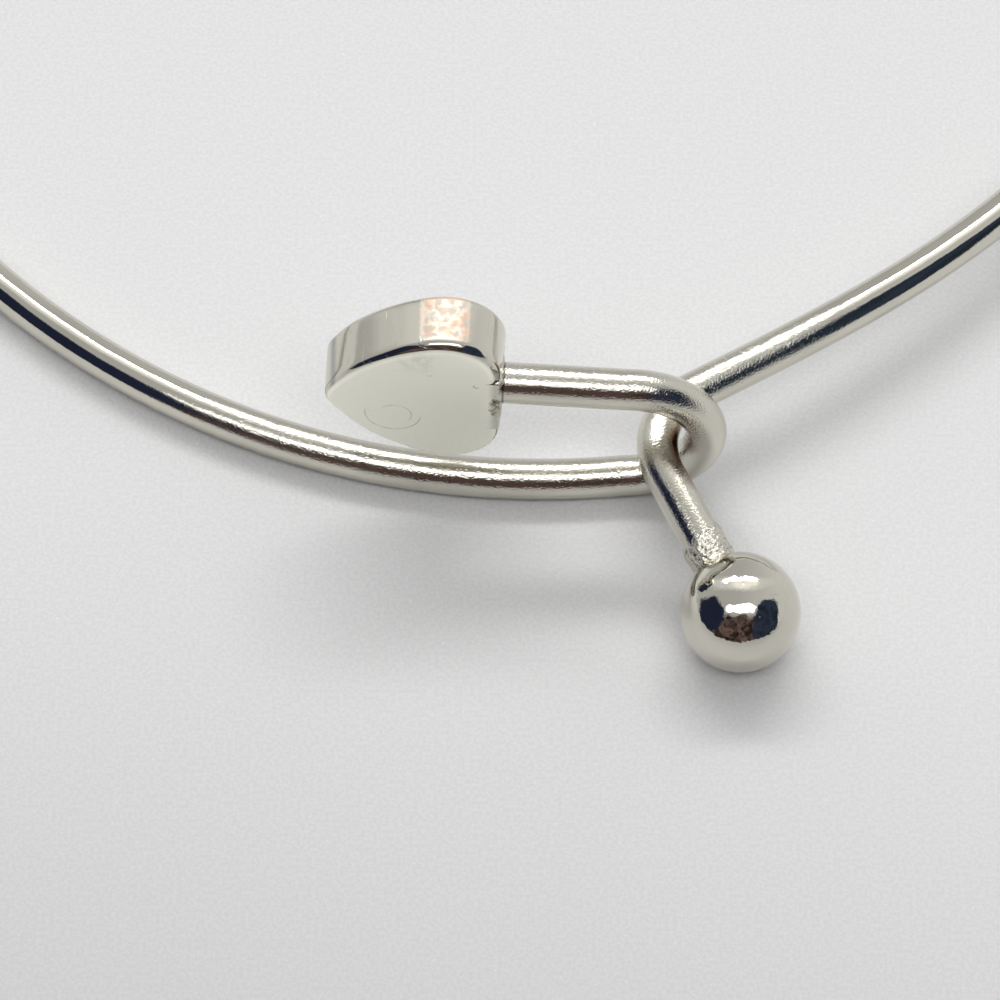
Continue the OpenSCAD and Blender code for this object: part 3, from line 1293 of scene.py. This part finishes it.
@dataclass
class Studio:
    """Pale table, soft light and the camera.

    patch and ragged are the sizes of the cards' darker patches and of their edges' raggedness, in
    thousandths of the surround's radius.
    """

    view_up: float = 58.0
    aim: Vector = spot(0.945, -36.62, 0.0)
    camera_far: float = 194.4
    lens: float = 158.27
    floor_size: float = 3000.0
    floor_tone: Colour = (0.765, 0.768, 0.77)
    floor_grain: Colour = (0.82, 0.823, 0.825)
    floor_speck: Colour = (0.91, 0.91, 0.91)
    floor_lump: float = 0.17
    speck_lump: float = 0.16
    shade_way: Vector = spot(-0.2, -0.98, 0.0)
    shade_reach: Reach = (34.0, 74.0)
    shade_share: float = 0.2
    strip_up: float = 53.5
    strip_left: float = 2.0
    strip_far: float = 900.0
    strip_wide: float = 52.0
    strip_high: float = 7.5
    strip_light: float = 8.7
    patch: float = 190.0
    ragged: float = 130.0
    ragged_share: float = 1.1
    dim_side: Colour = (0.52, 0.52, 0.52)
    bright_side: Colour = (0.76, 0.76, 0.76)
    side_reach: Reach = (-0.2, 0.75)
    cards: tuple[Card, ...] = (
        Card(-0.05, 0.48, 0.5, 0.1, (0.85, 0.85, 0.84), 0.4),
        Card(0.05, 0.49, 0.2, 0.08, (1.3, 1.26, 1.2), 0.4),
        Card(-0.02, 0.07, 0.235, 0.062, (4.2, 4.2, 4.2), 0.2, True),
        Card(0.0, -0.32, 0.50, 0.29, (0.17, 0.115, 0.105), mottle=0.85),
        Card(-0.50, -0.02, 0.21, 0.29, (0.018, 0.023, 0.05)),
        Card(0.42, -0.12, 0.175, 0.33, (0.035, 0.05, 0.08), 0.12, True, 0.5),
        Card(0.28, -0.24, 0.1, 0.2, (0.035, 0.045, 0.08), 0.12, True, 0.4),
    )

    def build(self) -> None:
        """Makes the table, the lights and the camera."""
        self.floor()
        self.strip()
        self.surround()
        self.camera()

    def floor(self) -> None:
        """Pale table top, as part of the stage."""
        half = self.floor_size / 2
        corners = [Vector((x * half, y * half, 0.0)) for x, y in ((-1, -1), (1, -1), (1, 1), (-1, 1))]
        table = make_mesh("table", corners, [(0, 1, 2, 3)])
        table.data.materials.append(make_material("pale table", self.paper))

    def paper(self, net: Net, at: Socket) -> dict[str, object]:
        """Look of the table: paper-like, with a fine grain, and softly darker towards the viewer.

        Args:
            net: Node tree of the material.
            at: Place on the table, in metres.

        Returns:
            Values of the shader's sockets.
        """
        grain = net.noise(at, self.floor_lump, 3.0).smooth(0.35, 0.65)
        specks = net.noise(at, self.speck_lump, 1.0).smooth(0.7, 0.78)
        tone = net.mix(specks, net.mix(grain, self.floor_tone, self.floor_grain), self.floor_speck)
        shade = net.along(at, Vector(), self.shade_way).smooth(*self.shade_reach)
        return {"Base Color": net.mix(shade * self.shade_share, tone, (0.0, 0.0, 0.0)), "Roughness": 0.8}

    def strip(self) -> None:
        """Long soft light above and behind, which throws the shadows towards the viewer."""
        aside = turn(90 + self.strip_left)
        up = math.radians(self.strip_up)
        way = aside * math.cos(up) + Vector((0.0, 0.0, math.sin(up)))
        wide = 2 * self.strip_far * math.tan(math.radians(self.strip_wide / 2))
        high = 2 * self.strip_far * math.tan(math.radians(self.strip_high / 2))
        lamp = bpy.data.lights.new("strip", "AREA")
        lamp.shape = "RECTANGLE"
        lamp.size, lamp.size_y = wide * MM, high * MM
        lamp.energy = self.strip_light * math.pi * lamp.size * lamp.size_y
        strip = bpy.data.objects.new("strip", lamp)
        strip.location = (self.aim + way * self.strip_far) * MM
        strip.rotation_euler = (-way).to_track_quat("-Z", "Y").to_euler()
        bpy.context.scene.collection.objects.link(strip)

    def surround(self) -> None:
        """Even pale surround with the cards that the metal mirrors."""
        world = bpy.data.worlds.new("surround")
        bpy.context.scene.world = world
        world.use_nodes = True
        net = Net(world.node_tree)
        outward = self.view_way()
        upward = Vector((0.0, outward.z, -outward.y))
        way = net.node("ShaderNodeTexCoord").outputs["Generated"]
        middle = net.vectors("ADD", way, tuple(outward)).outputs[0]
        facing = net.vectors("NORMALIZE", middle).outputs[0]
        across = net.dot(facing, tuple(RIGHT))
        above = net.dot(facing, tuple(upward))
        colour = net.mix(across.smooth(*self.side_reach), self.dim_side, self.bright_side)
        patches = net.noise(facing, self.patch, 2.0, 1.5).smooth(0.36, 0.66)
        ragged = (net.noise(facing, self.ragged, 2.0) - 0.5) * self.ragged_share
        for card in self.cards:
            x = (across - card.across) / card.half_w
            y = (above - card.up) / card.half_h
            far = (x * x) * (x * x) + (y * y) * (y * y) if card.square else x * x + y * y
            mask = (far + ragged).smooth((1 + card.edge) ** 2, (1 - card.edge) ** 2)
            dark = tuple(part * (1.0 - card.mottle) for part in card.colour)
            inside = net.mix(patches, card.colour, dark) if card.mottle else card.colour
            colour = net.mix(mask, colour, inside)
        glow = net.node("ShaderNodeBackground", None, {"Color": colour, "Strength": 1.0})
        net.node("ShaderNodeOutputWorld", None, {"Surface": glow.outputs[0]})

    def view_way(self) -> Vector:
        """Direction from the bangle towards the camera."""
        up = math.radians(self.view_up)
        return Vector((0.0, -math.cos(up), math.sin(up)))

    def camera(self) -> None:
        """Camera at the photograph's angle and distance."""
        data = bpy.data.cameras.new("camera")
        data.lens = self.lens
        data.sensor_width = 36.0
        data.clip_start = 0.01
        camera = bpy.data.objects.new("camera", data)
        camera.location = (self.aim + self.view_way() * self.camera_far) * MM
        camera.rotation_euler = (math.radians(90 - self.view_up), 0.0, 0.0)
        bpy.context.scene.collection.objects.link(camera)
        bpy.context.scene.camera = camera


def main() -> None:
    """Builds the bangle and its studio."""
    logging.basicConfig(level=logging.INFO, format="%(name)s %(message)s")
    Bangle().build()
    Studio().build()
    bpy.context.scene.view_settings.view_transform = "Standard"


if __name__ == "__main__":
    main()
